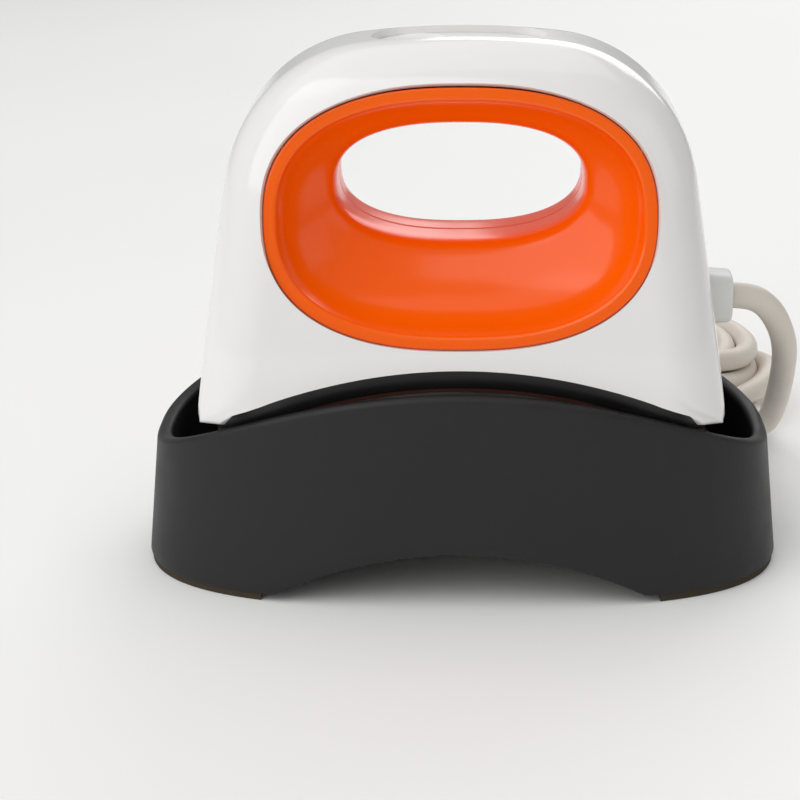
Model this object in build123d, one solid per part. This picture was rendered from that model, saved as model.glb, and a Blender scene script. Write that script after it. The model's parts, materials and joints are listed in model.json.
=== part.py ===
# Portable curved heat press for caps, standing in its insulated cradle.
# Millimetres, +Z up, +X to the right of the front, front facing -Y.
# Origin: middle of the footprint, on the surface that the cradle stands on.
import os
from math import cos, degrees, pi, radians, sin, sqrt, tan

from build123d import *

# ---- cradle -------------------------------------------------------------
cradle_half_width = 101.5     # at the feet
cradle_half_depth = 56.5
cradle_draft_x = 0.100        # the wall leans in by this much for each mm up
cradle_draft_y = 0.078
plan_power = 2.78             # roundness of the plan outline (2 = ellipse)
cradle_wall = 4.9
rim_height = 66.5             # at the middle of the front
rim_radius = 200.0
rim_edge_round = 1.6
arch_height = 17.2            # underside arch, at the middle
arch_radius = 118.0
foot_thickness = 2.3
foot_inset = 0.8
foot_gap = 4.0                # from the arch to the foot's inner end
floor_thickness = 3.0
liner_thickness = 3.2
liner_clearance = 1.0
felt_thickness = 4.0
cover_thickness = 2.5
cover_clearance = 0.25
cradle_screw_x = 74.0
cradle_screw_y = 26.0

# ---- press body ---------------------------------------------------------
shell_half_width = 79.2       # at width_level
width_level = 54.0
side_lean = radians(8.04)
crest_height = 164.6
crest_radius = 260.0
shoulder_radius = 45.0
shell_half_depth = 42.5
bend_level = 75.0             # the faces lean back above this height
face_lean = radians(11.31)
bend_radius = 80.0
edge_radius = 16.0
shell_wall = 2.4
seam_gap = 0.12
edge_height = 72.5            # lower edge of the shells at mid width
edge_arch_radius = 168.0

# ---- handle insert ------------------------------------------------------
ring_half_width = 58.6
ring_half_height = 38.2
ring_level = 116.5
ring_power = 2.45
lip_width = 3.8
lip_proud = 0.4
lip_thickness = 2.8
throat_half_width = 37.6
throat_half_height = 18.1
throat_level = 123.0
throat_half_depth = 15.0
insert_wall = 2.2
insert_clearance = 0.12
bowl_middle = 0.5             # where along the bowl its middle section lies
bowl_fullness = 0.72          # size there, between throat and lip

# ---- heated base --------------------------------------------------------
seat_clearance = 0.3          # between coating and liner
coating_thickness = 0.4
plate_thickness = 11.9
gasket_thickness = 1.2
gasket_width = 4.0
plate_screw_length = 13.5
collar_height = 6.5
plate_half_width = 76.2
plate_half_depth = 40.3
plate_corner = 24.0
collar_overhang = 0.9         # collar beyond the plate all round
collar_wall = 3.0
collar_flange = 10.0
spigot_height = 5.0
spigot_wall = 1.8
spigot_clearance = 0.2
element_radius = 3.25
element_half_gap = 20.0       # from the middle to each run of the element
element_half_angle = 16.0
element_clearance = 0.08
element_rise = 0.7            # rod's centre above the plate's back
pad_gap = 1.7                 # from the rod to the insulation
sleeve_radius = 3.6
sleeve_height = 9.0
tab_height = 7.0
pad_thickness = 4.6
shield_thickness = 0.8

# ---- controls -----------------------------------------------------------
panel_half_length = 27.0
panel_half_width = 10.4
panel_proud = 0.1
panel_thickness = 3.0
panel_clearance = 0.12
button_x = -12.0
button_radius = 7.9
button_gap = 0.3
button_proud = 0.35
button_travel = 1.2
flange_thickness = 1.2
lamp_radius = 1.5
lamp_x = (5.5, 12.5, 19.5)
switch_board_level = 149.0
board_thickness = 1.6
switch_size = 6.0
switch_height = 4.3
spring_radius = 5.1
spring_wire = 0.35

# ---- control board ------------------------------------------------------
board_half_width = 38.0
board_half_depth = 21.0
board_level = 79.8

# ---- joining screws -----------------------------------------------------
upper_boss = (56.0, 141.5)
lower_boss = (65.5, 70.5)
boss_radius = 4.9
boss_seat = 16.0
screw_radius = 1.45
screw_reach = 12.0
head_radius = 2.8
head_height = 2.2

# ---- mains lead ---------------------------------------------------------
cord_radius = 4.1
gland_level = 83.0
gland_reach = 85.2            # x of the gland's outer face
gland_root_height = 17.0
gland_root_depth = 16.0
gland_tip_height = 15.4
gland_tip_depth = 14.6
cord_end_x = 57.0             # where the jacket ends inside the body
clamp_x = 60.5
coil_center = (63.0, 137.0)
coil_radius = 41.0            # middle of the turns
coil_half_width = 8.6
coil_height = 24.8
tie_thickness = 1.1
tie_width = 9.0
tie_clearance = 0.4
lead_route = [
    (gland_reach, 0.0, gland_level),
    (91.2, 0.0, gland_level),
    (97.0, 1.8, 79.2),
    (102.0, 7.5, 71.2),
    (106.0, 18.0, 59.0),
    (108.0, 40.0, 39.0),
    (109.0, 64.0, 20.5),
    (109.5, 90.0, 6.2),
    (106.5, 116.0, 5.6),
    (103.0, 139.0, 6.0),
]
tail_route = [
    (31.2, 169.3, 6.0),
    (17.0, 153.5, 5.6),
    (3.5, 139.5, 6.2),
    (-14.0, 132.0, 9.0),
]
plug_length = 32.0
plug_width = 25.0
plug_height = 22.0
relief_length = 22.0
blade_length = 17.0

# ---- derived places -----------------------------------------------------
press_axis = edge_height - edge_arch_radius          # height of the arches' common centre
collar_bottom = edge_arch_radius - collar_height
gasket_bottom = collar_bottom - gasket_thickness
plate_bottom = gasket_bottom - plate_thickness
coating_bottom = plate_bottom - coating_thickness
liner_top = coating_bottom - seat_clearance
floor_top = liner_top - liner_thickness
floor_bottom = floor_top - floor_thickness
arch_axis = arch_height - arch_radius
button_flange_top = crest_height - panel_thickness - 1.5
arch_half_span = sqrt(arch_radius**2 - (foot_thickness - arch_axis) ** 2)
far = 400.0


def superellipse(half_width, half_height, power, count=32):
    """Closed smooth outline |x/a|^n + |y/b|^n = 1."""
    points = []
    for i in range(count):
        t = 2 * pi * (i + 0.5) / count
        stretch = (abs(cos(t)) ** power + abs(sin(t)) ** power) ** (-1 / power)
        points.append((half_width * cos(t) * stretch, half_height * sin(t) * stretch))
    return make_face(Spline(*points, periodic=True))


def roller(radius, axis_height=press_axis):
    """Solid cylinder along Y, centred under the object."""
    return Pos(0, 0, axis_height) * Rot(90, 0, 0) * Cylinder(radius, far)


def band(low, high):
    """Curved layer between two radii about the press's arch axis."""
    return roller(high) - roller(low)


def above(height):
    return Pos(0, 0, height + far / 2) * Box(far, far, far)


def plan_block(half_width, half_depth, corner):
    """Upright rounded block, tall enough to be cut to any layer."""
    return extrude(RectangleRounded(2 * half_width, 2 * half_depth, corner), 200)


# ---- cradle pieces ------------------------------------------------------
def cradle_block(inset, low, high):
    """The drafted solid inside the cradle's outer wall, moved in by inset."""
    sections = []
    for z in (low, high):
        outline = superellipse(
            cradle_half_width - cradle_draft_x * z - inset,
            cradle_half_depth - cradle_draft_y * z - inset,
            plan_power,
        )
        sections.append(Pos(0, 0, z) * outline)
    return loft(sections, ruled=True)


def screw_places(x, y):
    return [(i * x, j * y) for i in (-1, 1) for j in (-1, 1)]


def make_cradle_shell():
    top = rim_height + 6
    rim = roller(rim_radius, rim_height - rim_radius)
    body = cradle_block(0, foot_thickness, top) & rim
    well = cradle_block(cradle_wall, foot_thickness, top + 1) - roller(floor_top)
    hollow = cradle_block(cradle_wall, foot_thickness - 1, top + 1) & roller(floor_bottom)
    body = body - well - hollow - roller(arch_radius, arch_axis)
    boss_low = foot_thickness + cover_thickness
    for x, y in screw_places(cradle_screw_x, cradle_screw_y):
        post = Pos(x, y, boss_low + 30) * Cylinder(4.0, 60)
        body += post & roller(floor_bottom + 0.5)
        body -= Pos(x, y, boss_low + 6) * Cylinder(screw_radius + 0.05, 12.0)
    around = 2 * cradle_half_width
    lowest = rim_height - around**2 / 8 / rim_radius - 6
    rims = body.edges().filter_by(lambda e: e.length > around and e.center().Z > lowest)
    return fillet(rims, rim_edge_round)


def make_cradle_liner():
    block = cradle_block(cradle_wall + liner_clearance, 10, rim_height)
    return block & band(floor_top, liner_top)


def make_cradle_felt():
    block = cradle_block(cradle_wall + liner_clearance, foot_thickness, rim_height)
    felt = block & band(floor_bottom - felt_thickness, floor_bottom)
    felt &= above(foot_thickness + cover_thickness + 2.0)
    for x, y in screw_places(cradle_screw_x, cradle_screw_y):
        felt -= Pos(x, y, 30) * Cylinder(4.6, 60)
    return felt


def make_cradle_cover():
    block = cradle_block(cradle_wall + cover_clearance, foot_thickness, rim_height)
    raised = above(foot_thickness + cover_thickness) - roller(arch_radius + cover_thickness, arch_axis)
    cover = block - roller(arch_radius, arch_axis) - raised
    for x, y in screw_places(cradle_screw_x, cradle_screw_y):
        cover -= Pos(x, y, foot_thickness + 1) * Cylinder(screw_radius + 0.3, 6)
        cover -= Pos(x, y, foot_thickness + 0.9) * Cylinder(head_radius + 0.3, 1.8)
    return cover


def make_cradle_screws():
    screws = []
    for x, y in screw_places(cradle_screw_x, cradle_screw_y):
        head = Pos(x, y, foot_thickness + 1.0) * Cylinder(head_radius, 1.5)
        shank = Pos(x, y, foot_thickness + 6.5) * Cylinder(screw_radius, 11.0)
        screws.append(head + shank)
    return screws


def make_foot(side):
    pad = cradle_block(foot_inset, 0, foot_thickness)
    reach = arch_half_span + foot_gap
    keep = Pos(side * (reach + far / 2), 0, 0) * Box(far, far, 20)
    return pad & keep


# ---- press body ---------------------------------------------------------
def loaf(inset):
    """The press body's outer form, moved in by inset: an arched front view leaning in on all sides."""
    low = 20.0
    top = crest_height - inset
    side_in = inset / cos(side_lean)

    def half_width(z):
        return shell_half_width - side_in - (z - width_level) * tan(side_lean)

    front = make_face(Polyline(
        (-half_width(low), low), (half_width(low), low),
        (half_width(top + 20), top + 20), (-half_width(top + 20), top + 20), close=True,
    ))
    front &= Pos(0, crest_height - crest_radius) * Circle(crest_radius - inset)
    corners = front.vertices().filter_by(lambda v: v.Y > bend_level)
    front = fillet(corners, shoulder_radius - inset)

    depth_low = shell_half_depth - inset
    face_in = inset * (1 / cos(face_lean) - 1)
    depth_top = depth_low - face_in - (top + 20 - bend_level) * tan(face_lean)
    side = make_face(Polyline(
        (-depth_low, low), (depth_low, low), (depth_low, bend_level),
        (depth_top, top + 20), (-depth_top, top + 20), (-depth_low, bend_level), close=True,
    ))
    bends = side.vertices().filter_by(lambda v: abs(v.Y - bend_level) < 1)
    side = fillet(bends, bend_radius)

    form = extrude(Plane.XZ * front, 100, both=True) & extrude(Plane.YZ * side, 200, both=True)
    rims = form.edges().filter_by(lambda e: abs(e.center().Y) > 5 and e.center().Z > low + 1)
    return fillet(rims, edge_radius - inset)


def front_plane(offset=0.0):
    """Plane of the leaning front face at the ring's centre, moved outward by offset."""
    y = -shell_half_depth + (ring_level - bend_level) * tan(face_lean)
    normal = Vector(0, -cos(face_lean), sin(face_lean))
    return Plane(Vector(0, y, ring_level) + normal * offset, x_dir=(1, 0, 0), z_dir=normal)


def ring_outline(grow):
    """Outline of the insert on the leaning face, grown by a margin."""
    return superellipse(
        ring_half_width + grow, ring_half_height / cos(face_lean) + grow, ring_power)


def throat_outline(grow, y):
    outline = superellipse(throat_half_width + grow, throat_half_height + grow, ring_power)
    return Plane((0, y, throat_level), x_dir=(1, 0, 0), z_dir=(0, -1, 0)) * outline


def bowl(grow, front_offset):
    """Dished funnel from the lip's inner edge to the throat, grown by a wall."""
    face_y = front_plane().origin.Y
    middle_y = face_y + (-throat_half_depth - face_y) * bowl_middle

    def between(throat_value, lip_value):
        return throat_value + (lip_value - throat_value) * bowl_fullness

    middle = superellipse(
        between(throat_half_width, ring_half_width - lip_width) + grow,
        between(throat_half_height, ring_half_height - lip_width) + grow, ring_power)
    middle_plane = Plane(
        (0, middle_y, between(throat_level, ring_level)), x_dir=(1, 0, 0),
        z_dir=(0, -cos(face_lean / 2), sin(face_lean / 2)))
    return loft([
        front_plane(front_offset) * ring_outline(grow - lip_width),
        middle_plane * middle,
        throat_outline(grow, -throat_half_depth),
    ])


def throat(grow, back):
    return extrude(throat_outline(grow, back), throat_half_depth + back)


def make_insert_front():
    lip = extrude(front_plane(lip_proud) * ring_outline(0), -lip_thickness)
    outer = lip + bowl(insert_wall, lip_proud - lip_thickness)
    outer += throat(insert_wall, -seam_gap / 2)
    return outer - bowl(0, lip_proud) - throat(0, 1.0)


def insert_hole():
    """Space that the shell leaves for the insert."""
    return extrude(front_plane(20) * ring_outline(insert_clearance), -34)


def boss_places():
    return [(s * x, z) for s in (-1, 1) for x, z in (upper_boss, lower_boss)]


def y_cylinder(x, z, radius, start, end):
    """Cylinder along Y between two depths."""
    return Pos(x, (start + end) / 2, z) * Rot(90, 0, 0) * Cylinder(radius, end - start)


def panel_slot(grow):
    outline = SlotOverall(2 * (panel_half_length + grow), 2 * (panel_half_width + grow))
    return Pos(0, 0, crest_height - 30) * extrude(outline, 60)


def gland_neck(grow):
    return Pos(gland_reach - 13, 0, gland_level) * Box(24, 11 + 2 * grow, 11 + 2 * grow)


def make_shell(outer, inner, rear):
    """One moulded half: rear=1 for the back half, -1 for the front half."""
    half = Pos(0, rear * (seam_gap / 2 + far / 2), 100) * Box(far, far, far)
    wall = outer - inner
    for x, z in boss_places():
        post = y_cylinder(x, z, boss_radius, min(0, rear * 60), max(0, rear * 60))
        wall += post & outer
    if rear > 0:
        for x, z in boss_places():
            wall -= y_cylinder(x, z, screw_radius + 0.25, -1, boss_seat + 1)
            wall -= y_cylinder(x, z, head_radius + 0.4, boss_seat, 70)
    else:
        for x, z in boss_places():
            wall -= y_cylinder(x, z, screw_radius + 0.05, -screw_reach - 1, 1)
    hole = insert_hole()
    if rear > 0:
        hole = mirror(hole, Plane.XZ)
    wall = wall - hole - roller(edge_arch_radius) - panel_slot(panel_clearance) - gland_neck(0.1)
    return wall & half


def make_shell_screws():
    screws = []
    for x, z in boss_places():
        shank = y_cylinder(x, z, screw_radius, -screw_reach, boss_seat)
        head = y_cylinder(x, z, head_radius, boss_seat, boss_seat + head_height)
        slot = Pos(x, boss_seat + head_height, z) * Box(0.8, 1.4, 3.4)
        cross = Pos(x, boss_seat + head_height, z) * Box(3.4, 1.4, 0.8)
        screws.append(shank + head - slot - cross)
    return screws


# ---- heated base --------------------------------------------------------
def plate_block(inset):
    return plan_block(plate_half_width - inset, plate_half_depth - inset, plate_corner - inset)


def element_path(radius):
    """Hairpin that follows the plate: two arcs along X joined by a half round."""
    a = radians(element_half_angle)
    ends = []
    for angle in (a, 0, -a):
        ends.append((radius * sin(angle), press_axis + radius * cos(angle)))
    gap = element_half_gap
    along = Vector(-cos(a), 0, -sin(a)) * gap
    turn = Vector(ends[2][0], 0, ends[2][1]) + along
    first = ThreePointArc(*[(x, -gap, z) for x, z in ends])
    bend = ThreePointArc((ends[2][0], -gap, ends[2][1]), turn, (ends[2][0], gap, ends[2][1]))
    last = ThreePointArc(*[(x, gap, z) for x, z in reversed(ends)])
    return Wire([first, bend, last])


def element_rod(radius):
    path = element_path(gasket_bottom + element_rise)
    start = Plane(path @ 0, z_dir=path % 0)
    return sweep(start * Circle(radius), path)


def make_heat_plate():
    plate = plate_block(0) & band(plate_bottom, gasket_bottom)
    plate -= element_rod(element_radius + element_clearance)
    return plate - plate_screw_holes()


def make_coating():
    return plate_block(0) & band(coating_bottom, plate_bottom)


def make_gasket():
    ring = plate_block(-0.4) - plate_block(gasket_width)
    return (ring & band(gasket_bottom, collar_bottom)) - plate_screw_holes()


def make_collar():
    wall = (plate_block(-collar_overhang) - plate_block(collar_wall - collar_overhang))
    wall &= band(collar_bottom, edge_arch_radius)
    flange = plate_block(-collar_overhang) - plate_block(collar_flange - collar_overhang)
    flange &= band(edge_arch_radius - 2.6, edge_arch_radius)
    spigot = loaf(shell_wall + spigot_clearance) - loaf(shell_wall + spigot_clearance + spigot_wall)
    spigot &= band(edge_arch_radius - 1.0, edge_arch_radius + spigot_height)
    spigot &= plate_block(-collar_overhang)
    collar = wall + flange + spigot
    for x, y in plate_screw_places():
        collar -= Pos(x, y, 60) * Cylinder(screw_radius + 0.3, 80)
    return collar


def plate_screw_places():
    return screw_places(52.0, plate_half_depth - 6.0)


def screw_seat(x):
    """Height of the collar flange's top under a plate screw's head."""
    return press_axis + sqrt(edge_arch_radius**2 - (abs(x) - head_radius) ** 2)


def plate_screw_holes():
    """Tapped holes that take the plate screws."""
    holes = None
    for x, y in plate_screw_places():
        hole = Pos(x, y, screw_seat(x) - plate_screw_length / 2) * Cylinder(
            screw_radius + 0.05, plate_screw_length + 1)
        holes = hole if holes is None else holes + hole
    return holes


def make_plate_screws():
    screws = []
    for x, y in plate_screw_places():
        seat = screw_seat(x)
        head = Pos(x, y, seat + head_height / 2) * Cylinder(head_radius, head_height)
        shank = Pos(x, y, seat - plate_screw_length / 2) * Cylinder(screw_radius, plate_screw_length)
        screws.append(head + shank)
    return screws


def pad_bottom():
    return gasket_bottom + element_rise + element_radius + pad_gap


def make_pad():
    block = plan_block(plate_half_width - 11, plate_half_depth - 11, plate_corner - 11)
    pad = block & band(pad_bottom(), pad_bottom() + pad_thickness)
    for sleeve in element_sleeves(sleeve_radius + 1, 30):
        pad -= sleeve
    return pad


def make_shield():
    block = plan_block(plate_half_width - 12, plate_half_depth - 12, plate_corner - 12)
    low = pad_bottom() + pad_thickness
    shield = block & band(low, low + shield_thickness)
    for sleeve in element_sleeves(sleeve_radius + 1, 30):
        shield -= sleeve
    return shield


def element_end():
    """x and z of the element's free ends, where the upright sleeves stand."""
    angle = radians(element_half_angle - 1.5)
    radius = gasket_bottom + element_rise
    return radius * sin(angle), press_axis + radius * cos(angle)


def element_sleeves(radius, height):
    """Two upright ceramic sleeves at the element's free ends."""
    x, z = element_end()
    low = z + element_radius + 1.8
    return [Pos(x, y, low + height / 2) * Cylinder(radius, height)
            for y in (-element_half_gap, element_half_gap)]


def make_terminal_tabs():
    x, z = element_end()
    low = z + element_radius + 1.8 + sleeve_height
    return [Pos(x, y, low + tab_height / 2) * Box(0.8, 6.3, tab_height)
            for y in (-element_half_gap, element_half_gap)]


def on_plate(x, radius, length):
    """Small capsule lying on the plate's back at a distance x from the middle."""
    turn = degrees(x / gasket_bottom)
    lift = gasket_bottom + radius + 0.3
    return Pos(0, 0, press_axis) * Rot(0, turn, 0) * Pos(0, 0, lift) * Rot(0, 90, 0) * Cylinder(radius, length)


# ---- electronics --------------------------------------------------------
def board_post_places():
    return screw_places(board_half_width - 4, board_half_depth - 4)


def make_control_board():
    board = Pos(0, 0, board_level + board_thickness / 2) * Box(
        2 * board_half_width, 2 * board_half_depth, board_thickness)
    for x, y in board_post_places():
        board -= Pos(x, y, board_level) * Cylinder(1.6, 10)
    return board


def shield_top_radius():
    return pad_bottom() + pad_thickness + shield_thickness


def make_board_posts():
    posts = []
    for x, y in board_post_places():
        post = Pos(x, y, board_level - 15) * Cylinder(2.8, 30)
        posts.append(post - roller(shield_top_radius()))
    return posts


def make_board_screws():
    screws = []
    for x, y in board_post_places():
        z = board_level + board_thickness
        screws.append(Pos(x, y, z + 0.8) * Cylinder(2.6, 1.6) + Pos(x, y, z - 0.8) * Cylinder(1.5, 1.6))
    return screws


def on_board(x, y, length, depth, height):
    z = board_level + board_thickness + height / 2
    return Pos(x, y, z) * Box(length, depth, height)


def make_relay():
    return on_board(-18, 0, 19, 15, 11.5)


def make_capacitor():
    return Pos(0, 6, board_level + board_thickness + 5.5) * Cylinder(4.2, 11)


def make_buzzer():
    return Pos(0, -8, board_level + board_thickness + 3.0) * Cylinder(4.6, 6)


def make_controller_chip():
    return on_board(12, -8, 9, 6, 1.6)


def make_terminal_block():
    block = on_board(27, 0, 9, 24, 9)
    for y in (-8, 0, 8):
        block -= Pos(30, y, board_level + board_thickness + 4) * Box(6, 3.4, 3.4)
    return block


def wire(points, radius, bend):
    """Insulated wire along straight runs with rounded corners."""
    path = FilletPolyline(*points, radius=bend)
    return sweep(Plane(path @ 0, z_dir=path % 0) * Circle(radius), path)


def make_mains_leads():
    """Three insulated cores from the lead's end to the terminal block."""
    level = board_level + board_thickness + 4
    start = cord_end_x - 0.4
    leads = []
    for y in (-8, 0, 8):
        leads.append(wire([
            (start, y / 5, gland_level), (start - 5, y / 4, gland_level + 1.5),
            (43.0, y, level + 2.5), (31.0, y, level)], 0.75, 2.5))
    return leads


def make_element_leads():
    """Glass-sleeved wires from the element's tabs to the terminal block."""
    x, z = element_end()
    top = z + element_radius + 1.8 + sleeve_height + tab_height + 0.3
    block_top = board_level + board_thickness + 9.3
    leads = []
    for side in (-1, 1):
        y = side * element_half_gap
        leads.append(wire([
            (x, y, top), (x, y, top + 6), (x - 7, y - side * 6, block_top + 3),
            (27.0, side * 10.0, block_top + 3), (27.0, side * 10.0, block_top)], 1.0, 2.0))
    return leads


def make_switch_cable():
    """Cable from the control board up one side of the handle opening to the switch board."""
    level = board_level + board_thickness
    return wire([
        (-34.0, 0, level + 2), (-49.0, 0, level + 6), (-56.0, 0, 112.0), (-52.0, 0, 132.0),
        (-40.0, 0, 147.5), (-19.5, 0, switch_board_level + board_thickness + 1.5)], 1.2, 5)


def make_switch_board():
    return Pos(4, 0, switch_board_level + board_thickness / 2) * Box(46, 16, board_thickness)


def make_tact_switch():
    z = switch_board_level + board_thickness
    body = Pos(button_x, 0, z + 1.75) * Box(switch_size, switch_size, 3.5)
    return body + Pos(button_x, 0, z + switch_height / 2) * Cylinder(1.7, switch_height)


def panel_shell(low, high):
    """Layer that follows the crest, between two offsets from the shell's surface."""
    axis = crest_height - crest_radius
    return roller(crest_radius + high, axis) - roller(crest_radius + low, axis)


def make_panel():
    panel = panel_slot(0) & panel_shell(-panel_thickness, panel_proud)
    panel = panel & above(crest_height - 20)
    panel -= Pos(button_x, 0, crest_height) * Cylinder(button_radius + button_gap, 20)
    for x in lamp_x:
        panel -= Pos(x, 0, crest_height) * Cylinder(lamp_radius + 0.05, 20)
    return panel


def make_lamps():
    lamps = []
    for x in lamp_x:
        top = crest_height + panel_proud + 0.1 - x**2 / (2 * crest_radius)
        low = switch_board_level + board_thickness + 3.0
        lamps.append(Pos(x, 0, (top + low) / 2) * Cylinder(lamp_radius, top - low))
    return lamps


def make_leds():
    z = switch_board_level + board_thickness
    return [Pos(x, 0, z + 1.2) * Box(2.0, 1.6, 2.4) for x in lamp_x]


def make_button():
    top = crest_height + panel_proud + button_proud
    flange_top = button_flange_top
    cap = Pos(button_x, 0, (top + flange_top) / 2) * Cylinder(button_radius, top - flange_top)
    cap = fillet(cap.edges().group_by(Axis.Z)[-1], 0.8)
    flange = Pos(button_x, 0, flange_top - flange_thickness / 2) * Cylinder(button_radius + 1.2, flange_thickness)
    stem_low = switch_board_level + board_thickness + switch_height + button_travel + 0.1
    stem = Pos(button_x, 0, (flange_top - flange_thickness + stem_low) / 2) * Cylinder(
        2.2, flange_top - flange_thickness - stem_low)
    return cap + flange + stem


def make_button_spring():
    low = switch_board_level + board_thickness + spring_wire
    high = button_flange_top - flange_thickness - spring_wire
    turns = 4
    coil = Helix(pitch=(high - low) / turns, height=high - low, radius=spring_radius)
    coil = Pos(button_x, 0, low) * coil
    face = Plane(coil @ 0, z_dir=coil % 0) * Circle(spring_wire)
    return sweep(face, coil, is_frenet=True)


# ---- mains lead ---------------------------------------------------------
def x_plane(x):
    return Plane((x, 0, gland_level), x_dir=(0, 1, 0), z_dir=(1, 0, 0))


def make_gland(outer):
    root = x_plane(gland_reach - 16) * RectangleRounded(gland_root_depth, gland_root_height, 2.4)
    tip = x_plane(gland_reach) * RectangleRounded(gland_tip_depth, gland_tip_height, 2.4)
    head = loft([root, tip]) - outer
    head = head.solids().sort_by(Axis.X)[-1]
    neck = Pos(gland_reach - 9, 0, gland_level) * Box(12, 11, 11)
    flange = Pos(gland_reach - 16.5, 0, gland_level) * Box(3.0, 14, 14)
    bore = Pos(gland_reach - 10, 0, gland_level) * Rot(0, 90, 0) * Cylinder(cord_radius + 0.05, 60)
    return head + neck + flange - bore


def make_cord_end():
    length = gland_reach - cord_end_x
    return Pos(cord_end_x + length / 2, 0, gland_level) * Rot(0, 90, 0) * Cylinder(cord_radius, length)


def make_cord_clamp():
    bridge = Pos(clamp_x, 0, gland_level) * Box(6, 17, 11.5)
    return bridge - Pos(clamp_x, 0, gland_level) * Rot(0, 90, 0) * Cylinder(cord_radius + 0.05, 20)


def tube(route):
    """Round cord along straight runs joined by arcs as large as the runs allow."""
    points = [Vector(*p) for p in route]
    radii = []
    for before, here, after in zip(points, points[1:], points[2:]):
        turn = radians((here - before).get_angle(after - here))
        shorter = min((here - before).length, (after - here).length)
        radii.append(0.45 * shorter / tan(turn / 2))
    print("arc radii", [round(r, 1) for r in radii])
    path = FilletPolyline(*points, radius=radii)
    face = Plane(path @ 0, z_dir=path % 0) * Circle(cord_radius)
    cord = sweep(face, path)
    print("tube volume", round(cord.volume), "section x length", round(pi * cord_radius**2 * path.length))
    print("tube length", round(path.length, 1))
    return cord


def make_coil():
    x, y = coil_center
    low = tie_thickness + tie_clearance
    section = Pos(coil_radius, low + coil_height / 2) * RectangleRounded(2 * coil_half_width, coil_height, 4)
    ring = revolve(Plane.XZ * section, Axis.Z)
    return Pos(x, y, 0) * ring


def make_tie():
    x, y = coil_center
    low = tie_thickness + tie_clearance
    grow = tie_clearance + tie_thickness
    outer = RectangleRounded(2 * (coil_half_width + grow), coil_height + 2 * grow, 4 + grow)
    inner = RectangleRounded(
        2 * (coil_half_width + tie_clearance), coil_height + 2 * tie_clearance, 4 + tie_clearance)
    loop = extrude(Plane.XZ * (Pos(0, low + coil_height / 2) * (outer - inner)), tie_width / 2, both=True)
    return Pos(x, y, 0) * Rot(0, 0, 200) * Pos(coil_radius, 0, 0) * loop


def plug_frame():
    """Plane at the plug's cord entry, facing along the lead."""
    before, end = Vector(*tail_route[-2]), Vector(*tail_route[-1])
    heading = Vector(end.X - before.X, end.Y - before.Y, 0).normalized()
    level = plug_height / 2 + 0.2
    start = Vector(end.X, end.Y, level)
    return Plane(start, x_dir=(-heading.Y, heading.X, 0), z_dir=heading)


def make_plug_relief():
    frame = plug_frame()
    tip = Plane(tail_route[-1], x_dir=frame.x_dir, z_dir=Vector(*tail_route[-1]) - Vector(*tail_route[-2]))
    wide = frame.offset(relief_length)
    return loft([tip * Circle(cord_radius + 0.9), wide * Circle(cord_radius + 3.2)])


def make_plug():
    frame = plug_frame()
    back = frame.offset(relief_length)
    front = frame.offset(relief_length + plug_length)
    return loft([
        back * RectangleRounded(plug_width - 6, plug_height - 5, 6),
        frame.offset(relief_length + 0.4 * plug_length) * RectangleRounded(plug_width, plug_height, 7),
        front * RectangleRounded(plug_width, plug_height, 7),
    ])


def make_blades():
    """Two flat blades and a round earth pin."""
    frame = plug_frame().offset(relief_length + plug_length)
    blades = []
    for side in (-6.35, 6.35):
        blades.append(extrude(frame * (Pos(side, -2.5) * Rectangle(1.5, 6.3)), blade_length))
    blades.append(extrude(frame * (Pos(0, 5.5) * Circle(2.4)), blade_length + 2))
    return blades


# ---- export -------------------------------------------------------------
def save(name, shape):
    solids = shape if isinstance(shape, list) else list(shape.solids())
    whole = solids[0] if len(solids) == 1 else Compound(children=list(solids))
    export_step(whole, f"parts/{name}.step")


os.makedirs("parts", exist_ok=True)
outer_form = loaf(0)
inner_form = loaf(shell_wall)
insert_front = make_insert_front()

pieces = {
    "cradle_shell": make_cradle_shell(),
    "cradle_liner": make_cradle_liner(),
    "cradle_felt": make_cradle_felt(),
    "cradle_cover": make_cradle_cover(),
    "cradle_screws": make_cradle_screws(),
    "foot_pad_left": make_foot(-1),
    "foot_pad_right": make_foot(1),
    "front_shell": make_shell(outer_form, inner_form, -1),
    "rear_shell": make_shell(outer_form, inner_form, 1),
    "insert_front": insert_front,
    "insert_rear": mirror(insert_front, Plane.XZ),
    "shell_screws": make_shell_screws(),
    "skirt_collar": make_collar(),
    "plate_gasket": make_gasket(),
    "heat_plate": make_heat_plate(),
    "plate_coating": make_coating(),
    "heating_element": element_rod(element_radius),
    "element_sleeves": element_sleeves(sleeve_radius, sleeve_height),
    "element_tabs": make_terminal_tabs(),
    "plate_screws": make_plate_screws(),
    "temperature_probe": on_plate(0, 1.9, 12),
    "thermal_fuse": on_plate(26, 1.7, 13),
    "insulation_pad": make_pad(),
    "heat_shield": make_shield(),
    "control_board": make_control_board(),
    "board_posts": make_board_posts(),
    "board_screws": make_board_screws(),
    "relay": make_relay(),
    "capacitor": make_capacitor(),
    "buzzer": make_buzzer(),
    "controller_chip": make_controller_chip(),
    "terminal_block": make_terminal_block(),
    "mains_leads": make_mains_leads(),
    "element_leads": make_element_leads(),
    "switch_cable": make_switch_cable(),
    "switch_board": make_switch_board(),
    "button_switch": make_tact_switch(),
    "indicator_leds": make_leds(),
    "indicator_lamps": make_lamps(),
    "control_panel": make_panel(),
    "power_button": make_button(),
    "button_spring": make_button_spring(),
    "cord_gland": make_gland(outer_form),
    "cord_end": make_cord_end(),
    "cord_clamp": make_cord_clamp(),
    "power_cord": tube(lead_route),
    "cord_coil": make_coil(),
    "cord_tie": make_tie(),
    "cord_tail": tube(tail_route),
    "plug_relief": make_plug_relief(),
    "plug_body": make_plug(),
    "plug_blades": make_blades(),
}

for name, shape in pieces.items():
    save(name, shape)
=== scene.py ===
import json
import math

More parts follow.
